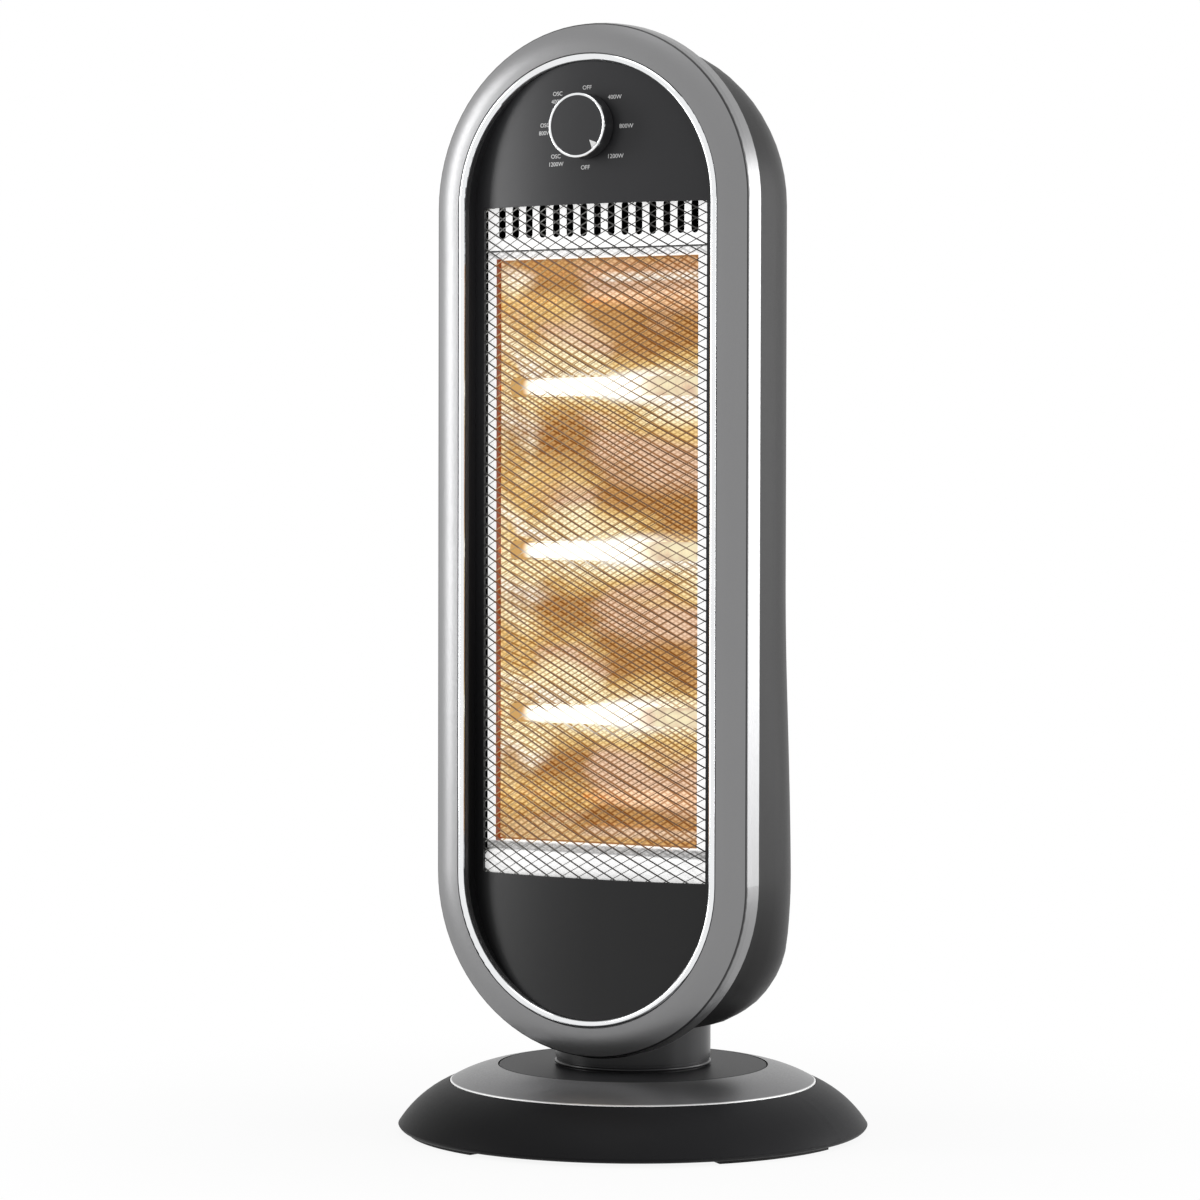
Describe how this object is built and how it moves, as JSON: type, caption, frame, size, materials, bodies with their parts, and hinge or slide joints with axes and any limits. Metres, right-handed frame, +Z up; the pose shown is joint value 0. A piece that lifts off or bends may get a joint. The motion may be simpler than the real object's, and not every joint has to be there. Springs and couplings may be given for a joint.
{
  "type": "oscillating radiant heater",
  "caption": "Free-standing radiant heater with glowing horizontal lamps behind a bowed mesh guard, a rotary dial and a round-ended head that swings on a round base.",
  "frame": {"origin": "middle of the round base on the floor, on the swing axis", "axes": "+Z up, the lamps face -Y at rest, +X to the right when looking along +Y at the front"},
  "size_m": [0.248, 0.248, 0.58],
  "materials": {
    "black_moulding": "satin black moulding",
    "charcoal_moulding": "satin charcoal moulding",
    "panel_moulding": "fine satin dark grey moulding",
    "silver_paint": "satin silver paint",
    "bright_chrome": "polished chrome",
    "guard_steel": "black heat-proof paint",
    "polished_reflector": "polished sheet",
    "zinc_steel": "zinc plated",
    "foot_rubber": "matt",
    "quartz": "clear quartz",
    "filament": "glowing coil",
    "ceramic_white": "matt glazed ceramic",
    "pointer_white": "white",
    "nylon_white": "natural nylon",
    "brass_plain": "plain",
    "lead_rubber": "smooth sheath"
  },
  "bodies": {
    "base": {"base_skirt": "black_moulding", "base_silver_ring": "silver_paint", "base_top_disc": "charcoal_moulding", "base_bottom_plate": "black_moulding", "base_feet": "foot_rubber", "base_screws": "zinc_steel", "ballast_plate": "zinc_steel", "cable_bushing": "lead_rubber", "oscillation_motor": "zinc_steel", "motor_bracket": "zinc_steel", "motor_screws": "zinc_steel", "base_terminal_block": "nylon_white", "tip_switch_housing": "nylon_white", "tip_switch_spring": "zinc_steel", "lower_lead": "lead_rubber", "neck_washer": "black_moulding"},
    "drive": {"motor_shaft": "zinc_steel", "drive_crank": "nylon_white"},
    "plunger": {"tip_switch_plunger": "nylon_white"},
    "knob": {"control_knob": "charcoal_moulding", "knob_ring": "bright_chrome", "knob_pointer": "pointer_white", "switch_shaft": "brass_plain"},
    "head": {"swing_plate": "zinc_steel", "swing_plate_screws": "zinc_steel", "upper_lead": "lead_rubber", "neck_collar": "black_moulding", "neck_screws": "zinc_steel", "rear_shell": "charcoal_moulding", "shell_screws": "zinc_steel", "front_bezel": "silver_paint", "chrome_ring": "bright_chrome", "front_panel": "panel_moulding", "guard_mesh": "guard_steel", "reflector_pan": "polished_reflector", "reflector_vent_plate": "polished_reflector", "reflector_lip": "polished_reflector", "reflector_screws": "zinc_steel", "lamp_rails": "zinc_steel", "rotary_switch": "black_moulding", "switch_screws": "zinc_steel", "thermal_cutout": "zinc_steel", "head_terminal_block": "nylon_white", "lamp_wiring": "lead_rubber", "lamp_tube_upper": "quartz", "lamp_filament_upper": "filament", "lamp_caps_upper": "ceramic_white", "lamp_tube_middle": "quartz", "lamp_filament_middle": "filament", "lamp_caps_middle": "ceramic_white", "lamp_tube_lower": "quartz", "lamp_filament_lower": "filament", "lamp_caps_lower": "ceramic_white"}
  },
  "joints": [
    {"name": "head_swing", "type": "hinge", "parent": "base", "child": "head", "pos_m": [0, 0, 0.034], "axis": [0, 0, 1], "range_deg": [-35, 35]},
    {"name": "crank_turn", "type": "hinge", "parent": "base", "child": "drive", "pos_m": [0, 0.018, 0.026], "axis": [0, 0, 1], "range_deg": [-90, 90]},
    {"name": "knob_turn", "type": "hinge", "parent": "head", "child": "knob", "pos_m": [0, -0.055, 0.5256], "axis": [0, -1, 0], "continuous": true},
    {"name": "tip_plunger", "type": "slide", "parent": "base", "child": "plunger", "axis": [0, 0, -1], "range_m": [0, 0.005], "stiffness_N_per_m": 40, "springref_m": 0.009, "deforming": ["tip_switch_spring"]}
  ],
  "couplings": [
    {"joint": "crank_turn", "follows": "head_swing", "ratio": 2.57}
  ]
}
